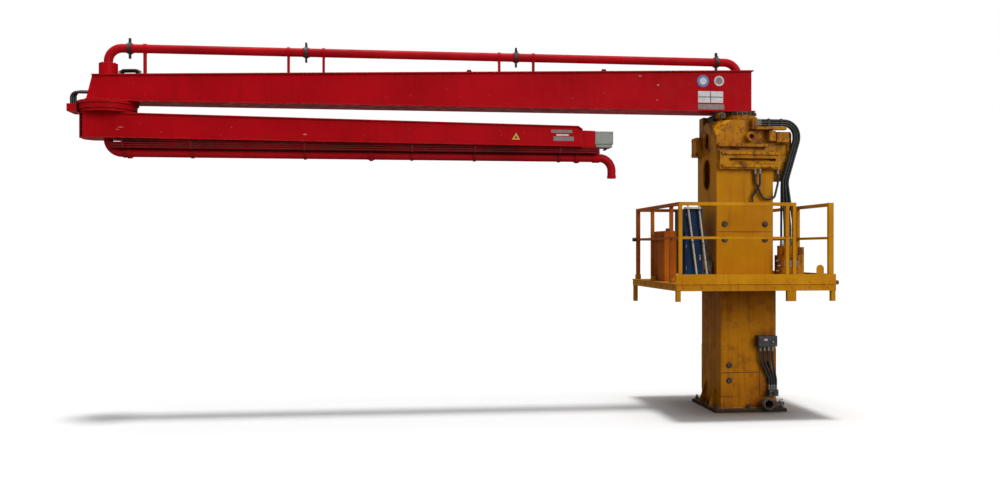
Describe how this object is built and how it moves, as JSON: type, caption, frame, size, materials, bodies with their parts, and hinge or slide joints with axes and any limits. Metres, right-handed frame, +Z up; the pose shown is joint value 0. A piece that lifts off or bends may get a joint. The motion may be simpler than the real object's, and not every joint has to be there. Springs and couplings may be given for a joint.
{
  "type": "stationary concrete placing boom",
  "caption": "Square mast with a railed service platform and two box arms that slew level, carrying a concrete delivery line from the foot to an outlet at the tip.",
  "frame": {"origin": "centre of the base plate's underside, on the slewing axis", "axes": "+Z up along the mast, arms along -X at rest, platform front towards -Y"},
  "size_m": [9.8906, 2.174, 4.962],
  "materials": {
    "yellow_paint": "worn gloss",
    "red_paint": "gloss",
    "blue_paint": "gloss",
    "grey_paint": "satin",
    "dark_steel": "oily",
    "dirty_steel": "dirty",
    "worn_pipe": "worn",
    "black_rubber": "matte",
    "pale_plastic": "matte",
    "black_plastic": "matte"
  },
  "bodies": {
    "mast": {"base_plate": "dirty_steel", "mast_foot": "yellow_paint", "mast_lower_section": "yellow_paint", "mast_middle_section": "yellow_paint", "mast_upper_section": "yellow_paint", "mast_joint_pins": "dark_steel", "mast_head": "yellow_paint", "head_slot_frame": "yellow_paint", "head_brackets": "yellow_paint", "head_side_bracket": "dark_steel", "head_hoses": "black_rubber", "slew_drive": "dark_steel", "slew_ring_fixed": "yellow_paint", "concrete_riser": "worn_pipe", "inlet_ring": "dark_steel", "junction_box": "black_plastic", "foot_block": "black_plastic", "foot_hoses": "black_rubber", "platform_frame": "yellow_paint", "platform_floor": "yellow_paint", "toe_boards": "yellow_paint", "railing_front": "yellow_paint", "railing_left": "yellow_paint", "railing_rear": "yellow_paint", "railing_right": "yellow_paint", "blue_cabinet": "blue_paint", "cabinet_front_panel": "blue_paint", "platform_conduits": "pale_plastic", "side_tank": "yellow_paint", "left_valve_block": "dark_steel", "valve_block": "yellow_paint", "mast_hoses": "black_rubber"},
    "boom_arm_1": {"slew_ring_moving": "dark_steel", "arm1_beam": "red_paint", "arm1_root_bend": "red_paint", "arm1_pipes": "red_paint", "arm1_tip_bend": "red_paint", "arm1_clamps": "dark_steel", "arm1_supports": "red_paint", "arm1_lugs": "red_paint", "arm1_tip_hoses": "black_rubber", "knuckle_collar": "red_paint", "knuckle_housing": "red_paint", "knuckle_drive": "red_paint", "knuckle_hoses": "black_rubber"},
    "boom_arm_2": {"knuckle_ring_lower": "red_paint", "arm2_beam": "red_paint", "arm2_tip_piece": "red_paint", "tip_box": "grey_paint", "arm2_inlet_bend": "red_paint", "arm2_pipes": "red_paint", "arm2_outlet_bend": "red_paint", "outlet_end_ring": "red_paint", "arm2_clamps": "red_paint", "arm2_hangers": "red_paint", "arm2_lines": "dark_steel", "outlet_bracket": "red_paint"}
  },
  "joints": [
    {"name": "boom_slew", "type": "hinge", "parent": "mast", "child": "boom_arm_1", "pos_m": [0, 0, 4.07], "axis": [0, 0, 1], "range_deg": [-180, 180]},
    {"name": "arm_2_swing", "type": "hinge", "parent": "boom_arm_1", "child": "boom_arm_2", "pos_m": [-8.5, 0, 4.011], "axis": [0, 0, 1], "range_deg": [-180, 180]}
  ]
}
